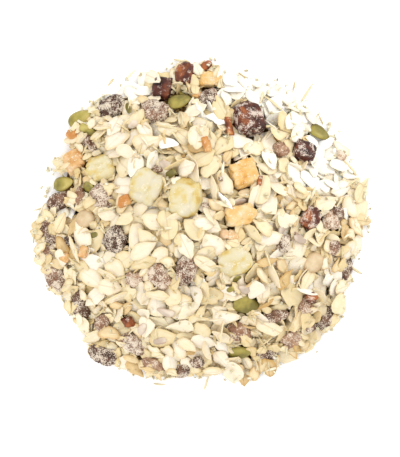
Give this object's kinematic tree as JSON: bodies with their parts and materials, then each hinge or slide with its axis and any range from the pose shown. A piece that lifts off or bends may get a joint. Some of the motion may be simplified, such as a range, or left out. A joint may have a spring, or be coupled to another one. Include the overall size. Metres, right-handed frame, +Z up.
{
  "type": "heap of muesli",
  "caption": "Loose round heap of dry fruit muesli: oat and wheat flakes with raisins, dates, candied papaya, soft pineapple, pumpkin seeds and nuts, resting on its flat underside.",
  "frame": {"origin": "middle of the heap's flat underside, on the surface it lies on", "axes": "+Z up out of the heap; +X to the right and +Y away from the reader in the view from straight above"},
  "size_m": [0.1396, 0.1378, 0.0355],
  "materials": {
    "oat_flakes": "dry, matt and slightly powdery",
    "raisin": "wrinkled, matt with a dusting of flour",
    "date": "sticky, satin where bare, floury elsewhere",
    "papaya": "candied, slightly translucent, sugar-frosted",
    "pineapple": "soft-dried, pale and translucent",
    "nut": "matt, roasted skin",
    "pumpkin_seed": "smooth satin hull-less seed"
  },
  "bodies": {
    "root": {"flake_heap": "oat_flakes", "pineapple_1": "pineapple", "pineapple_2": "pineapple", "pineapple_3": "pineapple", "pineapple_4": "pineapple", "papaya_1": "papaya", "papaya_2": "papaya", "papaya_3": "papaya", "papaya_4": "papaya", "papaya_5": "papaya", "date_1": "date", "date_2": "date", "date_3": "date", "date_4": "date", "date_5": "date", "raisin_1": "raisin", "raisin_2": "raisin", "raisin_3": "raisin", "raisin_4": "raisin", "raisin_5": "raisin", "raisin_6": "raisin", "raisin_7": "raisin", "raisin_8": "raisin", "raisin_9": "raisin", "raisin_10": "raisin", "raisin_11": "raisin", "raisin_12": "raisin", "raisin_13": "raisin", "raisin_14": "raisin", "raisin_15": "raisin", "raisin_16": "raisin", "raisin_17": "raisin", "raisin_18": "raisin", "raisin_19": "raisin", "raisin_20": "raisin", "raisin_21": "raisin", "raisin_22": "raisin", "raisin_23": "raisin", "raisin_24": "raisin", "raisin_25": "raisin", "raisin_26": "raisin", "raisin_27": "raisin", "raisin_28": "raisin", "raisin_29": "raisin", "raisin_30": "raisin", "nut_1": "nut", "nut_2": "nut", "pumpkin_seed_1": "pumpkin_seed", "pumpkin_seed_2": "pumpkin_seed", "pumpkin_seed_3": "pumpkin_seed", "pumpkin_seed_4": "pumpkin_seed", "pumpkin_seed_5": "pumpkin_seed", "pumpkin_seed_6": "pumpkin_seed"}
  },
  "joints": []
}
